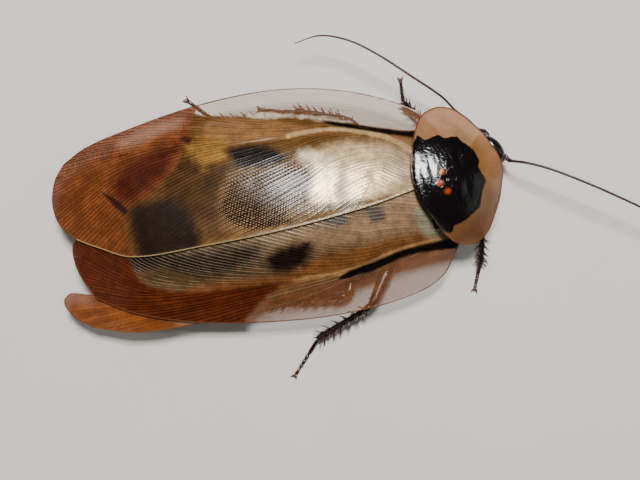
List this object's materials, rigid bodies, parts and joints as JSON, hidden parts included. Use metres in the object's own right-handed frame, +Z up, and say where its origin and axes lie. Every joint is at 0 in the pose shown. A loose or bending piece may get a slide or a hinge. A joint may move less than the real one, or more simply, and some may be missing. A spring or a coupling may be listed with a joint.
{
  "type": "giant cave cockroach model",
  "caption": "Adult giant cave cockroach, a still life-size model standing on six feet, pearly wings folded flat and long antennae spread.",
  "frame": {"origin": "on the floor, under the middle of the model's bounding box", "axes": "+X towards the head, +Y to the insect's left, +Z up from the floor the feet stand on"},
  "size_m": [0.1244, 0.0662, 0.0125],
  "materials": {
    "shield": "glossy translucent amber cuticle with a wavy-edged black patch and three orange spots",
    "tegmen": "thin pearly tan wing membrane, red-brown and finely veined towards the tip, black streaks at the shoulders",
    "hindwing": "clear amber wing membrane with fine dark veins",
    "trunk": "black-brown cuticle in overlapping plates, satin gloss",
    "head": "smooth glossy black cuticle",
    "eye": "black compound eye, very glossy over fine facets",
    "antenna": "dark brown ringed cuticle with a satin sheen",
    "leg": "glossy black-brown cuticle, spines and claws reddish"
  },
  "bodies": {
    "root": {"pronotum": "shield", "thorax": "trunk", "abdomen": "trunk", "neck": "trunk", "cercus_left": "trunk", "cercus_right": "trunk", "head": "head", "labrum": "head", "eye_left": "eye", "eye_right": "eye", "palp_left": "leg", "palp_right": "leg", "antenna_left_scape": "antenna", "antenna_left_1": "antenna", "antenna_left_2": "antenna", "antenna_left_3": "antenna", "antenna_right_scape": "antenna", "antenna_right_1": "antenna", "antenna_right_2": "antenna", "antenna_right_3": "antenna", "tegmen_left": "tegmen", "tegmen_right": "tegmen", "hindwing_left": "hindwing", "hindwing_right": "hindwing", "coxa_fore_left": "leg", "coxa_fore_right": "leg", "coxa_mid_left": "leg", "coxa_mid_right": "leg", "coxa_hind_left": "leg", "coxa_hind_right": "leg", "femur_fore_left": "leg", "femur_fore_right": "leg", "femur_mid_left": "leg", "femur_mid_right": "leg", "femur_hind_left": "leg", "femur_hind_right": "leg", "tibia_fore_left": "leg", "tibia_fore_right": "leg", "tibia_mid_left": "leg", "tibia_mid_right": "leg", "tibia_hind_left": "leg", "tibia_hind_right": "leg", "tarsus_fore_left": "leg", "tarsus_fore_right": "leg", "tarsus_mid_left": "leg", "tarsus_mid_right": "leg", "tarsus_hind_left": "leg", "tarsus_hind_right": "leg"}
  },
  "joints": []
}
